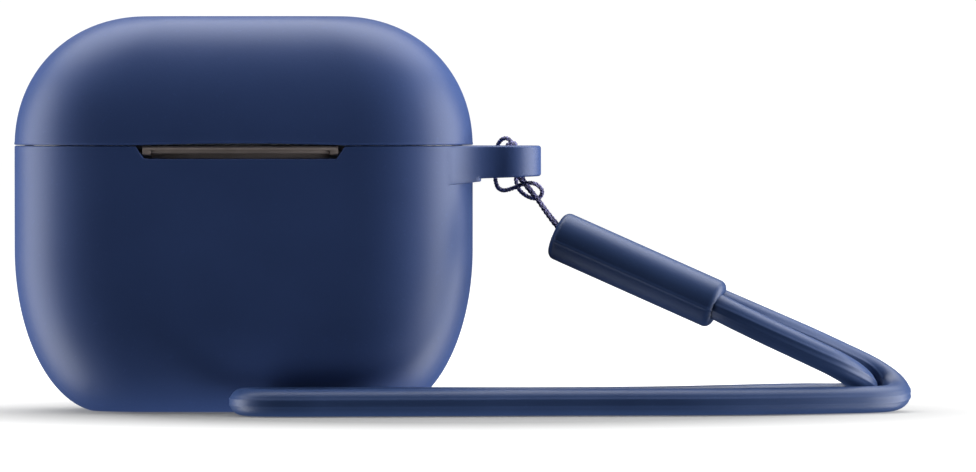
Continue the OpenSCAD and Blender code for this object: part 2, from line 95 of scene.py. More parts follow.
# The strap ring
RING_RADIUS = 4.6
RING_HOLE = 2.5
RING_X = BASE_HIGH.x - RING_RADIUS
RING_HEIGHT = 3.9
# The rounding of the skins towards the foot and the top, and their plan: a flat middle and rounded ends
FOOT_ARC_X = PARTING * 0.617
FOOT_ARC_Y = PARTING * 0.4
FOOT_CUT = 0.2
FOOT_FLAT_X = HALF_WIDTH - 11
FOOT_FLAT_Y = HALF_DEPTH - 8.4
TOP_FLAT_X = HALF_WIDTH - 16.5
TOP_FLAT_Y = HALF_DEPTH - 10
TOP_POWER = 2.1
PLAN_FLAT = 0.5
PLAN_POWER = 2.2

# Route of the wrist strap in millimetres, from inside the grip, round the floor loop and back
STRAP_ROUTE = [
    (56.4, -6.4, 14.8), (60.4, -6, 13.1), (65, -5, 11.1), (70, -3.2, 8.9), (74.5, -1.2, 6.8),
    (78, -0.2, 5.1), (80.4, -1, 3.5), (81.2, -3.4, 2.3), (80.3, -6, 1.8), (77.8, -8.2, 1.7),
    (74, -10, 1.7), (69, -11.8, 1.7), (62.5, -13.6, 1.7), (56, -14.8, 1.7), (50, -15.2, 1.7),
    (44, -15.4, 1.7), (36, -16, 1.7), (28, -16.8, 1.7), (20, -17.4, 1.7), (12, -18, 1.7),
    (8, -18.4, 1.7), (4.2, -18.3, 1.7), (1.5, -17.2, 1.7), (0.4, -14.5, 1.7), (1.5, -11.8, 1.7),
    (4.2, -10.7, 1.7), (8, -10.6, 1.7), (12, -10.8, 1.7), (20, -10.9, 1.7), (28, -11.1, 1.7),
    (36, -11.1, 1.7), (44, -10.4, 1.7), (52, -8.4, 1.7), (59, -5, 1.7), (65, -1.6, 1.7),
    (70, 0.4, 1.7), (74.2, 0.4, 1.7), (76.2, -1.2, 2), (77, -4, 3), (75.9, -6.6, 4.4),
    (73.4, -8.4, 6), (69.5, -9.4, 7.9), (64.6, -9.8, 10.2), (60.4, -9.55, 12.25), (57.6, -8.6, 13.7),
]
# Route of the hitch cord in millimetres
CORD_ROUTE = [
    (41.4, -4.6, 21.3), (39.2, -4.2, 22.7), (37.8, -3.4, 24.4), (36.7, -2.4, 26), (35.8, -1.8, 27.1),
    (34.9, -1.3, 28.2), (33.9, -0.7, 29.5), (33.6, -0.2, 31), (33.5, 0.5, 32.4), (33.3, 1.3, 33.4),
    (32.7, 2.4, 33.85), (32, 3.7, 33.6), (31.5, 4.95, 32.6), (31.4, 5.1, 31), (31.3, 4.7, 29.1),
    (31.5, 3.4, 28), (31.9, 1.6, 27.5), (32.6, -0.4, 27.4), (33.8, -2, 27.8), (35.1, -2.8, 28.3),
    (36.3, -2.8, 28.2), (37.1, -1.9, 27.4), (36.9, -0.6, 26.6), (36, 0.5, 26.4), (35, 1.7, 26.8),
    (34.2, 3.1, 27.6), (33.9, 4.6, 28.8), (33.9, 5, 30.8), (33.95, 5, 32.4), (33.75, 4.2, 33.2),
    (33.3, 3.1, 33.2), (32.85, 2.2, 33), (32.55, 1.5, 32.3), (32.7, 0.9, 31.3), (33.4, 0.45, 30.4),
    (34.3, 0, 29.6), (35.1, -0.5, 28.3), (36, -1.1, 27.1), (37, -1.7, 25.8), (38.2, -2.6, 24.2),
    (39.6, -3.4, 22.8), (42.4, -4.2, 21.4),
]
GRIP_START = Vector((38.85, -4, 22.05))
GRIP_END = Vector((58.8, -8, 13.2))
STRAP_SPACING = 0.7
CORD_SPACING = 0.09
ROUTE_STEPS = 24
# Where the camera looks and where it stands
AIM = Vector((30.4, 0.0, 21.7)) * MM
CAMERA_PLACE = Vector((30.4, -800.0, 37.0)) * MM
FLOOR_REACH = 4000


# ---------------------------------------------------------------- shader helpers


class Value:
    """A socket of a shader tree that can be used in arithmetic."""

    def __init__(self, tree, socket):
        self.tree = tree
        self.socket = socket

    def _math(self, operation, first, second=0.0):
        return self.tree.node("ShaderNodeMath", {"operation": operation}, {0: first, 1: second})

    def __add__(self, other):
        return self._math("ADD", self, other)

    def __radd__(self, other):
        return self._math("ADD", other, self)

    def __sub__(self, other):
        return self._math("SUBTRACT", self, other)

    def __rsub__(self, other):
        return self._math("SUBTRACT", other, self)

    def __mul__(self, other):
        return self._math("MULTIPLY", self, other)

    def __rmul__(self, other):
        return self._math("MULTIPLY", other, self)

    def sine(self):
        return self._math("SINE", self)

    def clamped(self):
        return self._math("MINIMUM", self._math("MAXIMUM", self, 0.0), 1.0)


class Tree:
    """A material's node tree, filled through one method."""

    def __init__(self, material):
        self.nodes = material.node_tree.nodes
        self.links = material.node_tree.links

    def node(self, kind, settings=None, inputs=None, output=0):
        made = self.nodes.new(kind)
        for key, value in (settings or {}).items():
            if key == "stops":
                ramp = made.color_ramp
                while len(ramp.elements) < len(value):
                    ramp.elements.new(1.0)
                for element, (place, colour) in zip(ramp.elements, value):
                    element.position = place
                    element.color = colour
            else:
                setattr(made, key, value)
        for key, value in (inputs or {}).items():
            if isinstance(value, Value):
                self.links.new(value.socket, made.inputs[key])
            else:
                made.inputs[key].default_value = value
        return Value(self, made.outputs[output])

    def coordinates(self, kind="Object"):
        return self.node("ShaderNodeTexCoord", output=kind)

    def noise(self, scale, detail=2.0, roughness=0.5, vector=None):
        return self.node(
            "ShaderNodeTexNoise",
            inputs={
                "Vector": vector or self.coordinates(),
                "Scale": scale,
                "Detail": detail,
                "Roughness": roughness,
            },
        )

    def mix(self, factor, first, second):
        return self.node(
            "ShaderNodeMix",
            {"data_type": "RGBA"},
            {"Factor": factor, "A": first, "B": second},
            output="Result",
        )

    def bump(self, height, distance, strength=1.0):
        return self.node(
            "ShaderNodeBump",
            inputs={"Strength": strength, "Distance": distance, "Height": height},
            output="Normal",
        )


def tone(colour, factor=1.0):
    """A four-part colour, made lighter or darker by a factor."""
    return tuple(min(1.0, c * factor) for c in colour[:3]) + (1.0,)


def new_material(name):
    material = bpy.data.materials.new(name + "_finish")
    material.use_nodes = True
    tree = Tree(material)
    return material, tree, tree.nodes["Principled BSDF"]


def connect(tree, shader, **inputs):
    for key, value in inputs.items():
        socket = shader.inputs[key.replace("_", " ")]
        if isinstance(value, Value):
            tree.links.new(value.socket, socket)
        else:
            socket.default_value = value


def silicone(name, colour, roughness, grain, lint=0.0):
    """Matte moulded silicone: a fine grain, faint mottling and a little clinging dust."""
    material, tree, shader = new_material(name)
    cloudy = tree.noise(90.0, 3.0)
    grainy = tree.noise(grain, 2.0, 0.6)
    specks = (tree.noise(grain * 0.6, 1.0) * 9.0 - 5.9).clamped()
    base = tree.mix(cloudy, tone(colour, 0.86), tone(colour, 1.14))
    dusty = tree.mix(specks * lint, base, tone(colour, 3.0))
    connect(
        tree,
        shader,
        Base_Color=dusty,
        Roughness=(grainy - 0.5) * 0.10 + (cloudy - 0.5) * 0.08 + roughness,
        Normal=tree.bump(grainy + cloudy * 0.6, 0.000007),
    )
    shader.inputs["Specular IOR Level"].default_value = 0.27
    return material


def polished_plastic(name, colour, roughness=0.16):
    """Glossy moulded plastic with very faint waviness and fine wear."""
    material, tree, shader = new_material(name)
    wavy = tree.noise(70.0, 1.0)
    fine = tree.noise(2600.0, 2.0)
    scuffs = (tree.noise(260.0, 4.0, 0.7) * 6.0 - 3.6).clamped()
    connect(
        tree,
        shader,
        Base_Color=tree.mix(wavy, tone(colour, 0.97), tone(colour, 1.02)),
        Roughness=scuffs * 0.14 + roughness,
        Normal=tree.bump(wavy + fine * 0.05, 0.00003),
    )
    shader.inputs["Coat Weight"].default_value = 0.25
    shader.inputs["Coat Roughness"].default_value = 0.08
    return material


def satin_plastic(name, colour, roughness=0.42, grain=4200.0):
    """Fine spark-eroded plastic."""
    material, tree, shader = new_material(name)
    grainy = tree.noise(grain, 2.0, 0.6)
    cloudy = tree.noise(120.0, 2.0)
    connect(
        tree,
        shader,
        Base_Color=tree.mix(cloudy, tone(colour, 0.94), tone(colour, 1.05)),
        Roughness=(grainy - 0.5) * 0.15 + roughness,
        Normal=tree.bump(grainy, 0.00002),
    )
    return material


def drawn_metal(name, colour, roughness, stretch=(6.0, 400.0, 400.0), depth=0.000012):
    """Metal with fine lines along one axis and a few darker stains."""
    material, tree, shader = new_material(name)
    mapped = tree.node(
        "ShaderNodeMapping", inputs={"Vector": tree.coordinates(), "Scale": stretch}, output="Vector"
    )
    lines = tree.noise(14.0, 3.0, 0.7, mapped)
    stains = tree.noise(420.0, 3.0)
    connect(
        tree,
        shader,
        Base_Color=tree.mix(stains, tone(colour, 0.72), tone(colour, 1.15)),
        Roughness=(lines - 0.5) * 0.3 + (stains - 0.5) * 0.12 + roughness,
        Normal=tree.bump(lines, depth),
    )
    shader.inputs["Metallic"].default_value = 1.0
    return material


def braid(name, dark, light):
    """Braid yarn: each strand carries its own tint and fine filaments along it."""
    material, tree, shader = new_material(name)
    strand = tree.node("ShaderNodeAttribute", {"attribute_name": "strand"}, output="Fac")
    along = tree.node("ShaderNodeUVMap", {"uv_map": "UVMap"}, output="UV")
    split = tree.node("ShaderNodeSeparateXYZ", inputs={0: along}, output="X")
    filaments = (split * 42.0 + tree.noise(900.0, 2.0) * 5.0).sine() * 0.5 + 0.5
    fuzz = tree.noise(3800.0, 2.0)
    blend = (strand * 0.75 + filaments * 0.3 - 0.05).clamped()
    connect(
        tree,
        shader,
        Base_Color=tree.mix(blend, tone(dark), tone(light)),
        Roughness=fuzz * 0.2 + 0.62,
        Normal=tree.bump(filaments + fuzz, 0.00002),
    )
    shader.inputs["Sheen Weight"].default_value = 0.25
    return material


def laminate(name, mask, pad):
    """Circuit board: solder mask over tracks, with bare pads."""
    material, tree, shader = new_material(name)
    cells = tree.node(
        "ShaderNodeTexBrick",
        {"offset": 0.5},
        {
            "Vector": tree.coordinates(),
            "Color1": tone(mask),
            "Color2": tone(mask, 1.5),
            "Mortar": tone(mask, 0.55),
            "Scale": 900.0,
            "Mortar Size": 0.03,
        },
        output="Color",
    )
    pads = (tree.noise(1500.0, 0.0) * 14.0 - 9.4).clamped()
    connect(
        tree,
        shader,
        Base_Color=tree.mix(pads, cells, tone(pad)),
        Roughness=pads * -0.15 + 0.42,
        Metallic=pads,
        Normal=tree.bump(pads, 0.00003),
    )
    return material


def clear_pipe(name, colour):
    """Frosted clear plastic of a light pipe."""
    material, tree, shader = new_material(name)
    cloudy = tree.noise(500.0, 2.0)
    connect(
        tree,
        shader,
        Base_Color=tree.mix(cloudy, tone(colour, 0.9), tone(colour, 1.05)),
        Roughness=cloudy * 0.2 + 0.2,
        Normal=tree.bump(cloudy, 0.00001),
    )
    shader.inputs["Transmission Weight"].default_value = 0.5
    return material


# ---------------------------------------------------------------- mesh helpers


def made_object(name, verts, faces, material, smooth=True):
    """A mesh object at the origin from points in millimetres."""
    mesh = bpy.data.meshes.new(name)
    mesh.from_pydata([Vector(v) * MM for v in verts], [], faces)
    mesh.validate()
    if smooth:
        mesh.polygons.foreach_set("use_smooth", [True] * len(mesh.polygons))
    mesh.materials.append(material)
    made = bpy.data.objects.new(name, mesh)
    bpy.context.scene.collection.objects.link(made)
    return made


def face_outwards(made):
    work = bmesh.new()
    work.from_mesh(made.data)
    bmesh.ops.recalc_face_normals(work, faces=work.faces)
    work.to_mesh(made.data)
    work.free()


def settled(made):
    """Replace the object's mesh by what its modifiers make of it."""
    graph = bpy.context.evaluated_depsgraph_get()
    mesh = bpy.data.meshes.new_from_object(made.evaluated_get(graph))
    mesh.validate()
    made.modifiers.clear()
    made.data = mesh
    return made


def sharp_by_angle(made, degrees):
    mesh = made.data
    mesh.polygons.foreach_set("use_smooth", [True] * len(mesh.polygons))
    mesh.set_sharp_from_angle(angle=math.radians(degrees))
    return made


def cut(made, *tools):
    """Cut away other objects, which are used up."""
    combine(made, "DIFFERENCE", tools)


def join_solids(made, *tools):
    combine(made, "UNION", tools)


def combine(made, operation, tools):
    for tool in tools:
        modifier = made.modifiers.new("combine", "BOOLEAN")
        modifier.operation = operation
        modifier.solver = "EXACT"
        modifier.object = tool
        settled(made)
        bpy.data.objects.remove(tool)


def softened(made, width, segments=3, degrees=35.0):
    modifier = made.modifiers.new("edges", "BEVEL")
    modifier.width = width * MM
    modifier.segments = segments
    modifier.limit_method = "ANGLE"
    modifier.angle_limit = math.radians(degrees)
    modifier.use_clamp_overlap = True
    return settled(made)


def prism(name, outline, low, high, axis="Z"):
    """A closed prism of an outline, along Z or along Y."""
    count = len(outline)
    place = (lambda a, b, h: (a, b, h)) if axis == "Z" else (lambda a, b, h: (a, h, b))
    verts = [place(a, b, h) for h in (low, high) for a, b in outline]
    faces = [list(range(count)), list(range(count, 2 * count))]
    faces += [[i, (i + 1) % count, count + (i + 1) % count, count + i] for i in range(count)]
    made = made_object(name, verts, faces, blank_material(), smooth=False)
    face_outwards(made)
    return made


def blank_material():
    return bpy.data.materials.get("blank") or bpy.data.materials.new("blank")


def box_outline(x0, x1, y0, y1):
    return [(x0, y0), (x1, y0), (x1, y1), (x0, y1)]


def circle_outline(x, y, radius, count=48):
    turn = 2 * math.pi / count
    return [(x + radius * math.cos(i * turn), y + radius * math.sin(i * turn)) for i in range(count)]


def revolved(name, profile, count, material):
    """A closed solid of revolution about Z from (radius, height) points, both ends on the axis."""
    verts = [(0.0, 0.0, profile[0][1])]
    for radius, height in profile[1:-1]:
        for i in range(count):
            turn = 2 * math.pi * i / count
            verts.append((radius * math.cos(turn), radius * math.sin(turn), height))
    verts.append((0.0, 0.0, profile[-1][1]))
    faces = []
    rings = len(profile) - 2
    for i in range(count):
        j = (i + 1) % count
        faces.append((0, 1 + j, 1 + i))
        for k in range(rings - 1):
            a = 1 + k * count
            b = a + count
            faces.append((a + i, a + j, b + j, b + i))
        last = 1 + (rings - 1) * count
        faces.append((last + i, last + j, len(verts) - 1))
    return made_object(name, verts, faces, material)


def smooth_curve(route, steps):
    """Points of a smooth curve through a route."""
    knots = [Vector(p) for p in route]
    ends = [knots[0]] + knots + [knots[-1]]
    points = []
    for a, b, c, d in zip(ends, ends[1:], ends[2:], ends[3:]):
        for k in range(steps):
            t = k / steps
            square = (2 * a - 5 * b + 4 * c - d) * t**2
            cube = (3 * b - a - 3 * c + d) * t**3
            points.append((2 * b + (c - a) * t + square + cube) / 2)
    points.append(knots[-1])
    return points


def evenly(points, spacing):
    """The same curve with points at an even spacing."""
    lengths = [0.0]
    for a, b in zip(points, points[1:]):
        lengths.append(lengths[-1] + (b - a).length)
    count = max(2, round(lengths[-1] / spacing))
    result = []
    k = 0
    for i in range(count + 1):
        target = lengths[-1] * i / count
        while k < len(points) - 2 and lengths[k + 1] < target:
            k += 1
        share = (target - lengths[k]) / max(lengths[k + 1] - lengths[k], 1e-9)
        result.append(points[k].lerp(points[k + 1], min(1.0, share)))
    return result


def carried_frames(points):
    """Tangent, side and upper directions that turn as little as possible along a curve."""
    frames = []
    side = Vector((0, 1, 0))
    for i in range(len(points)):
        ahead = (points[min(i + 1, len(points) - 1)] - points[max(i - 1, 0)]).normalized()
        side = (side - side.dot(ahead) * ahead).normalized()
        frames.append((ahead, side, ahead.cross(side)))
    return frames


# ---------------------------------------------------------------- the case's rounded skins


def share(u, power):
    return max(0.0, 1 - u**power) ** (1 / power)


def half_size(z, inset, reach, foot_arc, foot_flat, top_flat):
    """Half a width or depth of a skin at a height."""
    reach -= inset
    if z < foot_arc:
        return foot_flat + (reach - foot_flat) * share((foot_arc - z) / (foot_arc + FOOT_CUT - inset), 2)
    if z > BASE_RIM:
        rise = (z - BASE_RIM) / (FULL_HEIGHT - inset - BASE_RIM)
        return top_flat + (reach - top_flat) * share(rise, TOP_POWER)
    return reach


def half_x(z, inset):
    return half_size(z, inset, HALF_WIDTH, FOOT_ARC_X, FOOT_FLAT_X, TOP_FLAT_X)


def half_y(z, inset):
    return half_size(z, inset, HALF_DEPTH, FOOT_ARC_Y, FOOT_FLAT_Y, TOP_FLAT_Y)


def plan_share(c):
    """Place on a plan's end, from the flat's edge to the tip (1), for the cosine of a direction."""
    return PLAN_FLAT + (1 - PLAN_FLAT) * abs(c) ** (2 / PLAN_POWER)


def skin_point(side, turn, z, inset):
    """A point of a skin, towards the right or left side, turned from the middle of the end."""
    c = math.cos(turn)
    s = math.sin(turn)
    return Vector(
        (
            side * half_x(z, inset) * plan_share(c),
            half_y(z, inset) * math.copysign(abs(s) ** (2 / PLAN_POWER), s),
            z,
        )
    )


def flat_point(share_out, rear, z, inset):
    """A point of a skin's flat front (1) or back (-1)."""
    return Vector((half_x(z, inset) * share_out, rear * half_y(z, inset), z))


def skin_y(x, z, inset):
    place = (abs(x) / half_x(z, inset) - PLAN_FLAT) / (1 - PLAN_FLAT)
    return half_y(z, inset) * share(max(0.0, place), PLAN_POWER)


def plan_columns(count, marks):
    """Places round a plan as functions of height and inset: two ends and two flats.

    marks are the X places on the back that need points of their own."""
    turns = [math.pi * i / count - math.pi / 2 for i in range(count + 1)]
    flat = PLAN_FLAT * HALF_WIDTH
    even = [flat * (1 - 2 * i / 24) for i in range(1, 24)]
    close = flat / 24 * 0.8
    back = sorted(
        [x for x in even if all(abs(x - m) > close for m in marks)] + [m for m in marks if abs(m) < flat]
    )
    columns = [("end", 1, t) for t in turns]
    columns += [("flat", 1, x / HALF_WIDTH) for x in even]
    columns += [("end", -1, -t) for t in turns]
    columns += [("flat", -1, x / HALF_WIDTH) for x in back]
    return columns


def column_point(column, z, inset):
    kind, side, place = column
    if kind == "end":
        return skin_point(side, place, z, inset)
    return flat_point(place, side, z, inset)


def foot_heights(inset, end, count):
    """Heights from a foot up to an end, closer together where the skin curves."""
    arc = FOOT_ARC_X + FOOT_CUT - inset
    first = math.asin((FOOT_ARC_X - inset) / arc)
    curved = [FOOT_ARC_X - arc * math.sin(first * (1 - i / count)) for i in range(count + 1)]
    return curved + [FOOT_ARC_X + (end - FOOT_ARC_X) * i / 12 for i in range(1, 13)]


def top_heights(inset, start, count):
    arc = FULL_HEIGHT - inset - BASE_RIM
    first = math.asin(max(0.0, (start - BASE_RIM) / arc) ** (TOP_POWER / 2))
    turns = [first + (math.pi / 2 - first) * i / count for i in range(count + 1)]
    return [BASE_RIM + arc * math.sin(t) ** (2 / TOP_POWER) for t in turns]


def grid_faces(rows, columns, closed_rows=False):
    faces = []
    for k in range(rows if closed_rows else rows - 1):
        below = k * columns
        above = ((k + 1) % rows) * columns
        for i in range(columns):
            j = (i + 1) % columns
            faces.append((below + i, below + j, above + j, above + i))
    return faces


def rim_height(x, y):
    """Height of the base sleeve's rim, lower in the slot behind the hinge."""
    rim = BASE_RIM + SEAM_CLOSE
    if y > 0:
        return rim
    share_in = max(0.0, min(1.0, (abs(x) - SLOT_HALF) / SLOT_CHAMFER))
    eased = share_in * share_in * (3 - 2 * share_in)
    return SLOT_BOTTOM + (rim - SLOT_BOTTOM) * (0.6 * share_in + 0.4 * eased)


def lid_edge_height(x, y):
    """Height of the lid sleeve's edge, which bows up a little above the hinge."""
    reach = SLOT_HALF + SLOT_CHAMFER
    if y > 0 or abs(x) > reach:
        return LID_RIM - LID_CLOSE
    return LID_RIM - LID_CLOSE + LID_BOW * (1 - (x / reach) ** 2)


def rim_rows(outer, inner, radius):
    """(inset, drop) pairs that round over a rim from the outer to the inner face."""
    arc = [math.pi / 2 * i / 4 for i in range(5)]
    first = [(outer + radius - radius * math.cos(a), radius - radius * math.sin(a)) for a in arc]
    second = [(inner - radius + radius * math.sin(a), radius - radius * math.cos(a)) for a in arc]
    return first + second


def open_shell(name, outer, inner, columns, material, upper, edge, edge_radius, hole=None, lip=0.0):
    """A thin shell, open at one end: the base kind stands on its foot, the lid kind hangs from its top.

    edge gives the rim's height for a plan point, hole is a closed outline through a base's foot."""
    rows = []

    def add(inset, z_of):
        ring = []
        for column in columns:
            flat = column_point(column, BASE_RIM, inset)
            ring.append(column_point(column, z_of(edge(flat.x, flat.y)), inset))
        rows.append(ring)

    if upper:
        near = LID_RIM + 1.5
        outside = list(reversed(top_heights(outer, near, 40)))[1:]
        inside = top_heights(inner, near, 30)[:-1]
        for z in outside:
            add(outer, lambda rim, z=z: z)
        for i in range(1, 6):
            add(outer, lambda rim, i=i: near + (rim + LIP_HEIGHT - near) * i / 5)
        for i in range(1, 4):
            inset = outer - lip * (i / 3) ** 2
            add(inset, lambda rim, i=i: rim + LIP_HEIGHT + (edge_radius - LIP_HEIGHT) * i / 3)
        for inset, drop in rim_rows(outer - lip, inner, edge_radius):
            add(inset, lambda rim, drop=drop: rim + drop)
        for i in range(1, 6):
            add(inner, lambda rim, i=i: rim + edge_radius + (near - rim - edge_radius) * i / 6)
        for z in inside:
            add(inner, lambda rim, z=z: z)
    else:
        near = min(SLOT_BOTTOM, edge(0, -1)) - 1.0
        inside = list(reversed(foot_heights(inner, near, 26)))
        for z in foot_heights(outer, near, 34):
            add(outer, lambda rim, z=z: z)
        for i in range(1, 10):
            add(outer, lambda rim, i=i: near + (rim - edge_radius - near) * i / 10)
        for inset, drop in rim_rows(outer, inner, edge_radius):
            add(inset, lambda rim, drop=drop: rim - drop)
        for i in range(1, 10):
            add(inner, lambda rim, i=i: rim - edge_radius + (near - rim + edge_radius) * i / 10)
        for z in inside:
            add(inner, lambda rim, z=z: z)
    count = len(columns)
    if hole is not None:
        first = rows[0]
        last = rows[-1]
        lower = hole_ring(first, hole, outer)
        upper_ring = hole_ring(last, hole, inner)
        inward = [[a.lerp(b, t) for a, b in zip(last, upper_ring)] for t in (0.06, 0.3, 0.6, 0.9)]
        outward = [[a.lerp(b, t) for a, b in zip(first, lower)] for t in (0.9, 0.6, 0.3, 0.06)]
        rows += inward + [upper_ring, lower] + outward
        verts = [p for ring in rows for p in ring]
        faces = grid_faces(len(rows), count, closed_rows=True)
    else:
        verts = [p for ring in rows for p in ring]
        faces = grid_faces(len(rows), count)
        for ring, start in ((rows[0], 0), (rows[-1], (len(rows) - 1) * count)):
            middle = sum(ring, Vector()) / count
            steps = [start]
            for t in (0.08, 0.3, 0.55, 0.8):
                steps.append(len(verts))
                verts += [p.lerp(middle, t) for p in ring]
            for a, b in zip(steps, steps[1:]):
                ring_pairs = [(i, (i + 1) % count) for i in range(count)]
                faces += [(a + i, a + j, b + j, b + i) for i, j in ring_pairs]
            verts.append(middle)
            faces += [(steps[-1] + i, steps[-1] + (i + 1) % count, len(verts) - 1) for i in range(count)]
    made = made_object(name, verts, faces, material)
    face_outwards(made)
    return made


def hole_ring(ring, outline, z):
    """The points where rays towards a ring's points cross a stadium outline (width, depth)."""
    width, depth = outline
    reach = (width - depth) / 2
    radius = depth / 2
    points = []
    for p in ring:
        away = Vector((p.x, p.y * width / depth * 0.9)).normalized()
        if abs(away.y) > 1e-9 and abs(away.x) / abs(away.y) * radius <= reach:
            scale = radius / abs(away.y)
        else:
            along = abs(away.x) * reach
            scale = along + math.sqrt(max(0.0, along * along - reach * reach + radius * radius))
        points.append(Vector((away.x * scale, away.y * scale, z)))
    return points


# ---------------------------------------------------------------- settings


class SleeveSettings(bpy.types.PropertyGroup):
    colour: bpy.props.FloatVectorProperty(
        name="Sleeve colour", description="Colour of the silicone", subtype="COLOR", size=3,
        default=(0.027, 0.053, 0.158), min=0.0, max=1.0,
    )
    wall: bpy.props.FloatProperty(
        name="Wall", description="Wall of the sleeve in millimetres", default=1.15, min=0.5, max=2.0
    )
    rim_radius: bpy.props.FloatProperty(
        name="Rim radius", description="Rounding of the rims in millimetres", default=0.18, min=0.05, max=0.5
    )
    columns: bpy.props.IntProperty(
        name="Columns", description="Points round each end of the skin", default=64, min=16, max=200
    )
    pad_height: bpy.props.FloatProperty(
        name="Pad height", description="How far the ring's pad stands proud, in millimetres", default=0.12,
        min=0.0, max=0.6,
    )


class StrapSettings(bpy.types.PropertyGroup):
    colour: bpy.props.FloatVectorProperty(
        name="Strap colour", description="Colour of the strap and the grip", subtype="COLOR", size=3,
        default=(0.024, 0.048, 0.130), min=0.0, max=1.0,
    )
    diameter: bpy.props.FloatProperty(
        name="Strap diameter", description="Diameter of the strap", subtype="DISTANCE", unit="LENGTH",
        default=0.0033, min=0.001, max=0.006,
    )
    length: bpy.props.FloatProperty(
        name="Strap length", description="Length of the whole loop", subtype="DISTANCE", unit="LENGTH",
        default=0.2275, min=0.1, max=0.5,
    )
    seam: bpy.props.FloatProperty(
        name="Seam height", description="How far the mould line stands proud", subtype="DISTANCE",
        unit="LENGTH", default=0.00013, min=0.0, max=0.0003,
    )
    cord_dark: bpy.props.FloatVectorProperty(
        name="Cord dark yarn", description="Colour of the darker yarns", subtype="COLOR", size=3,
        default=(0.010, 0.010, 0.050), min=0.0, max=1.0,
    )
    cord_light: bpy.props.FloatVectorProperty(
        name="Cord light yarn", description="Colour of the lighter yarns", subtype="COLOR", size=3,
        default=(0.20, 0.19, 0.46), min=0.0, max=1.0,
    )
    cord_diameter: bpy.props.FloatProperty(
        name="Cord diameter", description="Diameter of the hitch cord", subtype="DISTANCE", unit="LENGTH",
        default=0.00055, min=0.0003, max=0.002,
    )
    cord_length: bpy.props.FloatProperty(
        name="Cord length", description="Length of the hitch cord", subtype="DISTANCE", unit="LENGTH",
        default=0.0689, min=0.02, max=0.2,
    )


class CaseSettings(bpy.types.PropertyGroup):
    colour: bpy.props.FloatVectorProperty(
        name="Case colour", description="Colour of the charging case", subtype="COLOR", size=3,
        default=(0.62, 0.62, 0.63), min=0.0, max=1.0,
    )
    steel: bpy.props.FloatVectorProperty(
        name="Hinge colour", description="Colour of the hinge's steel", subtype="COLOR", size=3,
        default=(0.33, 0.28, 0.26), min=0.0, max=1.0,
    )


class StageSettings(bpy.types.PropertyGroup):
    floor: bpy.props.FloatProperty(
        name="Floor tone", description="Reflectance of the floor", default=0.2, min=0.1, max=1.0
    )
    overhead: bpy.props.FloatProperty(
        name="Overhead power", description="Power of the overhead softbox", subtype="POWER", default=14.0,
        min=0.0, max=200.0,
    )
    side: bpy.props.FloatProperty(
        name="Side power", description="Power of each side softbox", subtype="POWER", default=13.5,
        min=0.0, max=100.0,
    )
    lens: bpy.props.FloatProperty(
        name="Lens", description="Focal length in millimetres", default=237.0, min=20.0, max=500.0
    )


# ---------------------------------------------------------------- operators


class BuildOperator:
    bl_options = {"REGISTER", "UNDO"}

    def execute(self, context):
        self.build(context.scene)
        return {"FINISHED"}


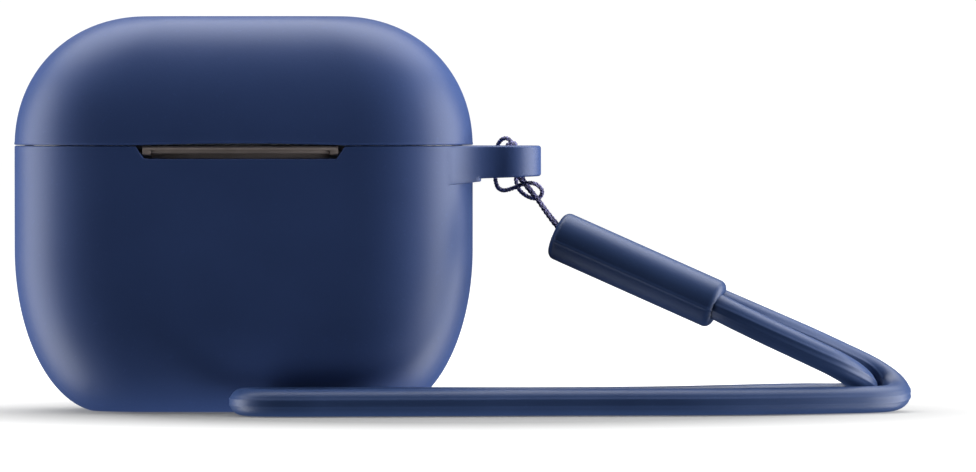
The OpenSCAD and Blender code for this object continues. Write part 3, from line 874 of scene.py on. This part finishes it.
class BuildStage(BuildOperator, bpy.types.Operator):
    """Set the camera, the pale floor and the soft lights"""

    bl_idname = "earbuds_case.stage"
    bl_label = "Stage"

    def build(self, scene):
        settings = scene.case_stage
        lens = bpy.data.cameras.new("camera")
        lens.lens = settings.lens
        lens.sensor_width = 36.0
        lens.clip_end = 20.0
        camera = bpy.data.objects.new("camera", lens)
        camera.location = CAMERA_PLACE
        camera.rotation_euler = (AIM - CAMERA_PLACE).to_track_quat("-Z", "Y").to_euler()
        scene.collection.objects.link(camera)
        scene.camera = camera
        scene.view_settings.view_transform = "Standard"
        self.floor(settings)
        self.lights(scene, settings)
        self.surroundings(scene)

    def floor(self, settings):
        """A pale floor with a painted shadow round the object: its emission is dim near the object and rises
        to white a little way off, where it goes over into the bright surroundings.
        """
        material, tree, shader = new_material("pale_floor")
        grain = tree.noise(40.0, 2.0)
        grey = (settings.floor,) * 3
        spread = tree.node(
            "ShaderNodeMapping",
            inputs={
                "Vector": tree.coordinates(),
                "Location": (-0.02, 0.003, 0.0),
                "Scale": (0.75, 1.0, 1.0),
            },
            output="Vector",
        )
        away = tree.node("ShaderNodeVectorMath", {"operation": "LENGTH"}, {0: spread}, output="Value")
        # Painted shadow: the floor's emission stays at 0.1 near the object's footprint and rises to full
        # white farther off
        painted_shadow_fade = ((away - 0.03) * 26.0).clamped()
        connect(
            tree,
            shader,
            Base_Color=tree.mix(grain, tone(grey, 0.99), tone(grey)),
            Roughness=0.7,
            Emission_Color=tree.mix(painted_shadow_fade, (0.1, 0.1, 0.1, 1.0), (1.0, 1.0, 1.0, 1.0)),
        )
        shader.inputs["Specular IOR Level"].default_value = 0.1
        shader.inputs["Emission Strength"].default_value = 1.0
        edge = FLOOR_REACH
        corners = [(x, y, 0) for x, y in box_outline(-edge, edge, -edge, edge)]
        floor = made_object("floor", corners, [(0, 1, 2, 3)], material)
        floor.visible_diffuse = False
        floor.visible_glossy = False
        floor.visible_shadow = False

    def lights(self, scene, settings):
        boxes = (
            ("overhead", (0.02, 0.17, 0.61), (1.3, 0.62), settings.overhead),
            ("left_box", (-0.66, 0.04, -0.08), (0.56, 1.25), settings.side),
            ("right_box", (0.71, 0.0, -0.06), (0.68, 1.2), settings.side * 1.5),
        )
        for name, place, size, power in boxes:
            light = bpy.data.lights.new(name, "AREA")
            light.shape = "RECTANGLE"
            light.size, light.size_y = size
            light.energy = power
            lamp = bpy.data.objects.new(name, light)
            lamp.location = place
            lamp.rotation_euler = (AIM - Vector(place)).to_track_quat("-Z", "Y").to_euler()
            scene.collection.objects.link(lamp)

    def surroundings(self, scene):
        """A white world for the camera and a weak bluish one for the light."""
        world = bpy.data.worlds.new("studio")
        world.use_nodes = True
        scene.world = world
        nodes = world.node_tree.nodes
        links = world.node_tree.links
        nodes.clear()
        path = nodes.new("ShaderNodeLightPath")
        seen = nodes.new("ShaderNodeBackground")
        seen.inputs["Color"].default_value = (1, 1, 1, 1)
        seen.inputs["Strength"].default_value = 1.05
        fill = nodes.new("ShaderNodeBackground")
        fill.inputs["Color"].default_value = (0.90, 0.94, 1.0, 1)
        fill.inputs["Strength"].default_value = 0.02
        mixed = nodes.new("ShaderNodeMixShader")
        out = nodes.new("ShaderNodeOutputWorld")
        links.new(path.outputs["Is Camera Ray"], mixed.inputs[0])
        links.new(fill.outputs[0], mixed.inputs[1])
        links.new(seen.outputs[0], mixed.inputs[2])
        links.new(mixed.outputs[0], out.inputs["Surface"])


def strap_tree(radius, seam, material):
    """Geometry Nodes that sweep a round section with a mould line on both sides along a curve."""
    tree = bpy.data.node_groups.new("strap_sweep", "GeometryNodeTree")
    face = tree.interface
    face.new_socket("Geometry", in_out="INPUT", socket_type="NodeSocketGeometry")
    face.new_socket("Geometry", in_out="OUTPUT", socket_type="NodeSocketGeometry")
    for name, value in (("Radius", radius), ("Seam Height", seam)):
        socket = face.new_socket(name, in_out="INPUT", socket_type="NodeSocketFloat")
        socket.default_value = value
    nodes = tree.nodes
    link = tree.links.new

    def add(kind, settings=None, **inputs):
        made = nodes.new(kind)
        for key, value in (settings or {}).items():
            setattr(made, key, value)
        for key, value in inputs.items():
            socket = made.inputs[int(key[1:])] if key[0] == "_" else made.inputs[key.replace("_", " ")]
            if isinstance(value, bpy.types.NodeSocket):
                link(value, socket)
            else:
                socket.default_value = value
        return made

    def maths(operation, first, second=0.0):
        return add("ShaderNodeMath", {"operation": operation}, _0=first, _1=second).outputs[0]

    entry = nodes.new("NodeGroupInput")
    upright = add("GeometryNodeSetCurveNormal", {"mode": "Z_UP"}, Curve=entry.outputs[0])
    ring = add("GeometryNodeCurvePrimitiveCircle", Resolution=72, Radius=entry.outputs[1])
    place = add("ShaderNodeSeparateXYZ", Vector=nodes.new("GeometryNodeInputPosition").outputs[0])
    turn = maths("ARCTAN2", place.outputs[1], place.outputs[0])
    # The mould line runs along both sides, a little below the middle
    below = 0.22
    half_line = 0.10
    off_right = maths("ABSOLUTE", maths("ADD", turn, below))
    off_left = maths("ABSOLUTE", maths("SUBTRACT", maths("ABSOLUTE", turn), math.pi - below))
    nearest = maths("MINIMUM", off_right, off_left)
    ridge = maths("MAXIMUM", maths("SUBTRACT", 1.0, maths("DIVIDE", nearest, half_line)), 0.0)
    lift = maths("DIVIDE", maths("MULTIPLY", ridge, entry.outputs[2]), entry.outputs[1])
    spread = add(
        "ShaderNodeVectorMath", {"operation": "SCALE"},
        Vector=nodes.new("GeometryNodeInputPosition").outputs[0],
    )
    link(lift, spread.inputs["Scale"])
    shaped = add("GeometryNodeSetPosition", Geometry=ring.outputs[0], Offset=spread.outputs[0])
    swept = add(
        "GeometryNodeCurveToMesh", Curve=upright.outputs[0], Profile_Curve=shaped.outputs[0], Fill_Caps=True
    )
    smooth = add("GeometryNodeSetShadeSmooth", Geometry=swept.outputs[0])
    real = add("GeometryNodeRealizeInstances", Geometry=smooth.outputs[0])
    coloured = add("GeometryNodeSetMaterial", Geometry=real.outputs[0], Material=material)
    leave = nodes.new("NodeGroupOutput")
    link(coloured.outputs[0], leave.inputs[0])
    return tree


def curve_object(name, points):
    data = bpy.data.curves.new(name, "CURVE")
    data.dimensions = "3D"
    spline = data.splines.new("POLY")
    spline.points.add(len(points) - 1)
    for knot, point in zip(spline.points, points):
        knot.co = (*(point * MM), 1.0)
    made = bpy.data.objects.new(name, data)
    bpy.context.scene.collection.objects.link(made)
    return made


def through_nodes(source, tree, name, values=()):
    """Run an object through a Geometry Nodes tree and keep the result as a plain mesh."""
    modifier = source.modifiers.new("nodes", "NODES")
    modifier.node_group = tree
    for key, value in values:
        modifier[next(s.identifier for s in tree.interface.items_tree if s.name == key)] = value
    graph = bpy.context.evaluated_depsgraph_get()
    mesh = bpy.data.meshes.new_from_object(source.evaluated_get(graph))
    made = bpy.data.objects.new(name, mesh)
    bpy.context.scene.collection.objects.link(made)
    bpy.data.objects.remove(source)
    return made


class BuildStrap(BuildOperator, bpy.types.Operator):
    """Make the wrist strap, the hitch cord and the grip between them"""

    bl_idname = "earbuds_case.strap"
    bl_label = "Wrist strap"

    def build(self, scene):
        settings = scene.case_strap
        rubber = silicone("strap_silicone", settings.colour, 0.42, 3600.0, 0.05)
        grip = self.grip(rubber)
        self.strap(settings, rubber, grip)
        self.cord(settings)

    def strap(self, settings, rubber, grip):
        points = evenly(smooth_curve(STRAP_ROUTE, ROUTE_STEPS), STRAP_SPACING)
        tree = strap_tree(settings.diameter / 2, settings.seam, rubber)
        values = (("Radius", settings.diameter / 2), ("Seam Height", settings.seam))
        strap = through_nodes(curve_object("strap_line", points), tree, "wrist_strap_loop", values)
        face_outwards(strap)
        stand_for(strap, "sleeve", "wrist_strap")
        [tuple(p * MM) for p in points]

    def grip(self, rubber):
        along = GRIP_END - GRIP_START
        length = along.length
        radius = 3.05
        edge = 0.95
        line_height = 0.00014
        half_line = 0.085
        arc = [math.pi / 2 * i / 8 for i in range(9)]
        lower = [(radius - edge + edge * math.sin(a), edge - edge * math.cos(a)) for a in arc]
        # A shallow dish at each end, where the cord and the strap come out
        dish = [(0.0, 0.45), (1.0, 0.45), (1.5, 0.2), (1.8, 0.02)]
        profile = dish + lower
        middle = [(radius, edge + (length - 2 * edge) * i / 40) for i in range(1, 40)]
        profile = profile + middle + [(r, length - h) for r, h in reversed(dish + lower)]
        turned = Vector((0, 0, 1)).rotation_difference(along).to_matrix().to_4x4()
        matrix = Matrix.Translation(GRIP_START) @ turned
        grip = revolved("strap_grip_body", profile, 224, rubber)
        # The mould line lies a little below the middle on both sides
        turn_back = turned.to_3x3().inverted()
        across = turn_back @ Vector((0.0, -1.0, -0.32))
        across = Vector((across.x, across.y, 0)).normalized()
        for vertex in grip.data.vertices:
            out = Vector((vertex.co.x, vertex.co.y, 0))
            if out.length < 0.5 * radius * MM:
                continue
            off = math.acos(min(1.0, abs(out.normalized().dot(across))))
            vertex.co += out.normalized() * max(0.0, 1 - off / half_line) * line_height
        for vertex in grip.data.vertices:
            vertex.co = (matrix @ (vertex.co / MM)) * MM
        face_outwards(grip)
        stand_for(grip, "sleeve", "strap_grip")
        return grip

    def cord(self, settings):
        """Braid eight yarns, four each way, along the cord's route."""
        points = evenly(smooth_curve(CORD_ROUTE, ROUTE_STEPS), CORD_SPACING)
        frames = carried_frames(points)
        radius = settings.cord_diameter / MM / 2
        yarn = radius * 0.46
        centre = radius - yarn * 1.25
        pitch = 2.4
        sides = 6
        verts = []
        faces = []
        tints = []
        uvs = []
        for way in (1, -1):
            for k in range(4):
                start = len(verts)
                for i, (point, (ahead, side, up)) in enumerate(zip(points, frames)):
                    s = i * CORD_SPACING
                    turn = way * 2 * math.pi * (s / pitch + k / 4)
                    weave = math.cos(8 * math.pi * s / pitch) * way
                    reach = centre + weave * yarn * 0.45
                    out = math.cos(turn) * side + math.sin(turn) * up
                    middle = point + out * reach
                    flat = ahead.cross(out)
                    for j in range(sides):
                        a = 2 * math.pi * j / sides
                        verts.append(middle + yarn * (math.cos(a) * out + 0.95 * math.sin(a) * flat))
                        tints.append(0.15 if (k + (way > 0)) % 2 else 0.95)
                        uvs.append((j / sides, s))
                for i in range(len(points) - 1):
                    for j in range(sides):
                        a = start + i * sides
                        b = a + sides
                        n = (j + 1) % sides
                        faces.append((a + j, a + n, b + n, b + j))
                faces.append([start + j for j in reversed(range(sides))])
                faces.append([start + (len(points) - 1) * sides + j for j in range(sides)])
        material = braid("cord_braid", settings.cord_dark, settings.cord_light)
        cord = made_object("hitch_cord_braid", verts, faces, material)
        layer = cord.data.attributes.new("strand", "FLOAT", "POINT")
        layer.data.foreach_set("value", tints)
        wrap = cord.data.uv_layers.new(name="UVMap")
        for loop in cord.data.loops:
            wrap.data[loop.index].uv = uvs[loop.vertex_index]
        face_outwards(cord)
        stand_for(cord, "sleeve", "hitch_cord")
        [tuple(p * MM) for p in points]


def neck_curve(start, pull, join, count):
    """Points of a curve that leaves the sleeve's side and runs into the ring's flank."""
    places = [i / count for i in range(count + 1)]
    return [start * (1 - t) ** 2 + 2 * pull * t * (1 - t) + join * t * t for t in places]


def ring_tab(material, proud):
    """The strap ring with its neck and root, to be joined to the base sleeve."""
    low = BASE_RIM - RING_HEIGHT
    high = BASE_RIM + SEAM_CLOSE
    root_x = HALF_WIDTH - 2.9
    start = Vector((root_x - 0.7, -skin_y(root_x - 0.7, BASE_RIM, 0) + 0.06))
    crest = Vector((root_x + 0.3, -skin_y(root_x + 0.3, BASE_RIM, 0) - proud))
    join = Vector((RING_X, -RING_RADIUS))
    neck = [start] + neck_curve(crest, Vector((HALF_WIDTH + 0.1, -RING_RADIUS)), join, 20)
    arc = [math.pi * i / 40 - math.pi / 2 for i in range(1, 40)]
    tip = [Vector((RING_X + RING_RADIUS * math.cos(a), RING_RADIUS * math.sin(a))) for a in arc]
    inside = (root_x - 0.4, HALF_WIDTH - 1.6, HALF_WIDTH - 0.9)
    back = [Vector((x, skin_y(x, BASE_RIM, 0.55))) for x in inside]
    back = back + [Vector((p.x, -p.y)) for p in reversed(back)]
    front = neck + tip + [Vector((p.x, -p.y)) for p in reversed(neck)]
    tab = prism("ring_tab", [tuple(p) for p in front + back], low, high)
    for vertex in tab.data.vertices:
        if vertex.co.z < (low + 1) * MM:
            vertex.co.z += max(0.0, vertex.co.x / MM - HALF_WIDTH - 1) * 0.035 * MM
    tab.data.materials.clear()
    tab.data.materials.append(material)
    cut(tab, prism("ring_hole", circle_outline(RING_X, 0, RING_HOLE, 64), low - 1, high + 1))
    softened(tab, 0.36, 4, 50)
    # The root is a little deeper than the ring, and ends in a small step
    step_x = HALF_WIDTH + 1.05
    short = [p for p in neck if p.x < step_x - 0.1]
    short = short + [Vector((step_x, -RING_RADIUS - 0.12))]
    root = short + [Vector((p.x, -p.y)) for p in reversed(short)] + back
    step = prism("ring_root", [tuple(p) for p in root], low - 0.8, low + 0.8)
    for vertex in step.data.vertices:
        if vertex.co.z < low * MM:
            vertex.co.z += (vertex.co.x / MM - root_x) * 0.11 * MM
    softened(step, 0.14, 2, 50)
    join_solids(tab, step)
    return tab


class BuildSleeve(BuildOperator, bpy.types.Operator):
    """Make the two pieces of the silicone sleeve"""

    bl_idname = "earbuds_case.sleeve"
    bl_label = "Silicone sleeve"

    def build(self, scene):
        settings = scene.case_sleeve
        rubber = silicone("sleeve_silicone", settings.colour, 0.44, 3200.0, 0.05)
        marks = [0.0, 0.25, 0.5, 0.75, 1.0]
        places = [sign * (SLOT_HALF + SLOT_CHAMFER * m) for sign in (-1, 1) for m in [-0.12] + marks]
        base = open_shell(
            "sleeve_base_skin", 0.0, settings.wall, plan_columns(settings.columns, places), rubber, False,
            rim_height, settings.rim_radius, (12.6, 6.4),
        )
        join_solids(base, ring_tab(rubber, settings.pad_height))
        light_hole = circle_outline(0, middle_height("status_light"), 1.2, 32)
        cut(base, prism("light_hole", light_hole, HALF_DEPTH - 2.5, HALF_DEPTH + 1, "Y"))
        sharp_by_angle(base, 42)
        stand_for(base, "sleeve", "sleeve_base")
        lid = open_shell(
            "sleeve_lid_skin", 0.0, settings.wall, plan_columns(settings.columns, places), rubber, True,
            lid_edge_height, settings.rim_radius, lip=0.05,
        )
        sharp_by_angle(lid, 60)
        stand_for(lid, "lid_sleeve", "sleeve_lid")


def blended_solid(name, node, material, width, segments=3, degrees=30.0):
    """A copy of a CAD piece with merged points and softened edges, to stand for it."""
    source = bpy.data.objects[node]
    made = bpy.data.objects.new(name, source.data.copy())
    bpy.context.scene.collection.objects.link(made)
    work = bmesh.new()
    work.from_mesh(made.data)
    bmesh.ops.remove_doubles(work, verts=work.verts, dist=1e-6)
    bmesh.ops.dissolve_limit(work, angle_limit=math.radians(1.0), verts=work.verts, edges=work.edges)
    work.to_mesh(made.data)
    work.free()
    made.data.materials.clear()
    made.data.materials.append(material)
    softened(made, width, segments, degrees)
    return sharp_by_angle(made, 50)


def stand_for(piece, body, node):
    """Let a piece ride on a body and stand for a CAD node, which is hidden."""
    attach(piece, body)
    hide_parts(node)


def finish_node(node, material):
    """Give a CAD piece that stays a procedural material."""
    made = bpy.data.objects[node]
    made.data.materials.clear()
    made.data.materials.append(material)


class BuildCase(BuildOperator, bpy.types.Operator):
    """Make the charging case's two shells"""

    bl_idname = "earbuds_case.case"
    bl_label = "Charging case"

    def build(self, scene):
        white = polished_plastic("case_plastic", scene.case_body.colour)
        wall = 1.5
        columns = plan_columns(56, [])
        shell = open_shell(
            "case_shell_skin", CASE_INSET, CASE_INSET + wall, columns, white, False,
            lambda x, y: SHELL_HIGH.z, 0.2, (9.0, 3.3),
        )
        body_low, body_high = box_of("hinge_body_leaf")
        lid_leaf_top = box_of("hinge_lid_leaf")[1].z
        lid_edge = box_of("lid_shell")[0].z
        leaf = body_high.x + 0.05
        back = body_high.y + 0.05
        button_hole = circle_outline(0, middle_height("setup_button"), 2.6)
        light_hole = circle_outline(0, middle_height("status_light"), 0.75, 32)
        cut(
            shell,
            prism("notch", box_outline(-leaf, leaf, -HALF_DEPTH, back), PARTING - 0.47, PARTING + 1),
            prism("pocket", box_outline(-leaf, leaf, back - 0.5, back), body_low.z - 0.05, PARTING + 1),
            prism("button_hole", button_hole, -HALF_DEPTH, -HALF_DEPTH + 4, "Y"),
            prism("light_hole", light_hole, HALF_DEPTH - 4, HALF_DEPTH, "Y"),
        )
        sharp_by_angle(shell, 40)
        stand_for(shell, "case", "case_shell")
        lid = open_shell(
            "lid_shell_skin", CASE_INSET, CASE_INSET + wall, columns, white, True,
            lambda x, y: lid_edge, 0.2,
        )
        cut(
            lid,
            prism("notch", box_outline(-leaf, leaf, -HALF_DEPTH, back), PARTING - 1, PARTING + 0.65),
            prism("pocket", box_outline(-leaf, leaf, back - 0.5, back), PARTING - 1, lid_leaf_top + 0.05),
        )
        sharp_by_angle(lid, 40)
        stand_for(lid, "lid", "lid_shell")
        button = blended_solid("setup_button_cap", "setup_button", white, 0.12)
        stand_for(button, "button", "setup_button")
        finish_node("status_light", clear_pipe("light_pipe", (0.95, 0.92, 0.85)))


class BuildHinge(BuildOperator, bpy.types.Operator):
    """Finish the hinge's leaves and pin"""

    bl_idname = "earbuds_case.hinge"
    bl_label = "Hinge"

    def build(self, scene):
        steel = drawn_metal("hinge_steel", scene.case_body.steel, 0.5)
        steel.node_tree.nodes["Principled BSDF"].inputs["Metallic"].default_value = 0.7
        for node, body in (("hinge_body_leaf", "case"), ("hinge_lid_leaf", "lid")):
            leaf = blended_solid(node + "_detail", node, steel, 0.06, 2)
            self.clear_slot(leaf)
            stand_for(leaf, body, node)
        finish_node("hinge_pin", drawn_metal("pin_steel", (0.45, 0.45, 0.46), 0.3))

    def clear_slot(self, leaf):
        """Keep the strip below the barrel just above the floor of the sleeve's slot."""
        outside = [v for v in leaf.data.vertices if v.co.y < (CASE_INSET - HALF_DEPTH) * MM]
        strip = [v for v in outside if v.co.z < (SLOT_BOTTOM + 0.1) * MM]
        lowest = min((v.co.z for v in strip), default=0.0)
        for vertex in strip:
            vertex.co.z += (SLOT_BOTTOM + 0.03) * MM - lowest


class BuildLiners(BuildOperator, bpy.types.Operator):
    """Make the earbud tray and the lid's liner"""

    bl_idname = "earbuds_case.liners"
    bl_label = "Tray and liner"

    def build(self, scene):
        satin = satin_plastic("liner_plastic", (0.52, 0.52, 0.53))
        for node, body in (("earbud_tray", "case"), ("lid_liner", "lid")):
            liner = blended_solid(node + "_detail", node, satin, 0.2)
            stand_for(liner, body, node)


class BuildEarbuds(BuildOperator, bpy.types.Operator):
    """Finish both earbuds"""

    bl_idname = "earbuds_case.earbuds"
    bl_label = "Earbuds"

    def build(self, scene):
        white = bpy.data.materials["case_plastic_finish"]
        finishes = {
            "_driver": satin_plastic("driver_can", (0.035, 0.035, 0.04)),
            "_grille": drawn_metal("grille_mesh", (0.05, 0.05, 0.055), 0.5, (400.0, 400.0, 400.0)),
            "_cell": drawn_metal("bud_cell", (0.55, 0.57, 0.6), 0.35),
            "_contact_cap": drawn_metal("cap_steel", (0.62, 0.62, 0.64), 0.18),
            "_sensor_window": polished_plastic("sensor_window", (0.01, 0.01, 0.012), 0.08),
        }
        for side in ("left", "right"):
            for part in ("_head", "_stem"):
                bud = blended_solid(side + part + "_detail", side + part, white, 0.15)
                stand_for(bud, "case", side + part)
            for part, material in finishes.items():
                finish_node(side + part, material)


class BuildElectronics(BuildOperator, bpy.types.Operator):
    """Finish the parts inside the charging case"""

    bl_idname = "earbuds_case.electronics"
    bl_label = "Electronics"

    def build(self, scene):
        board = laminate("board_laminate", (0.012, 0.09, 0.04), (0.8, 0.62, 0.25))
        magnet = drawn_metal("magnet", (0.5, 0.5, 0.52), 0.28)
        finishes = {
            "battery_pack": satin_plastic("cell_wrap", (0.02, 0.02, 0.024)),
            "main_board": board,
            "contact_boards": board,
            "charge_port": drawn_metal("port_steel", (0.55, 0.55, 0.57), 0.3),
            "charge_coil": drawn_metal("coil_copper", (0.62, 0.27, 0.12), 0.35, (400.0, 400.0, 400.0)),
            "ferrite_sheet": satin_plastic("ferrite", (0.03, 0.03, 0.032), 0.6),
            "button_switch": satin_plastic("switch_body", (0.04, 0.04, 0.045)),
            "tray_magnets": magnet,
            "lid_magnets": magnet,
            "charge_contacts": drawn_metal("contact_gold", (0.83, 0.60, 0.24), 0.25),
        }
        for node, material in finishes.items():
            finish_node(node, material)


class EarbudsCasePanel(bpy.types.Panel):
    """Lists the steps that build the earbuds case"""

    bl_idname = "VIEW3D_PT_earbuds_case"
    bl_label = "Earbuds Case"
    bl_space_type = "VIEW_3D"
    bl_region_type = "UI"
    bl_category = "Earbuds Case"

    def draw(self, context):
        for operator in OPERATORS:
            self.layout.operator(operator.bl_idname)


OPERATORS = (
    BuildStage, BuildStrap, BuildSleeve, BuildCase, BuildHinge, BuildLiners, BuildEarbuds, BuildElectronics,
)
SETTINGS = {
    "case_sleeve": SleeveSettings,
    "case_strap": StrapSettings,
    "case_body": CaseSettings,
    "case_stage": StageSettings,
}


def register():
    for made in (*SETTINGS.values(), *OPERATORS, EarbudsCasePanel):
        bpy.utils.register_class(made)
    for name, group in SETTINGS.items():
        setattr(bpy.types.Scene, name, bpy.props.PointerProperty(type=group))


def unregister():
    for name in SETTINGS:
        delattr(bpy.types.Scene, name)
    for made in reversed((*SETTINGS.values(), *OPERATORS, EarbudsCasePanel)):
        bpy.utils.unregister_class(made)


def main():
    register()
    for operator in OPERATORS:
        group, name = operator.bl_idname.split(".")
        getattr(getattr(bpy.ops, group), name)()


if __name__ == "__main__":
    main()
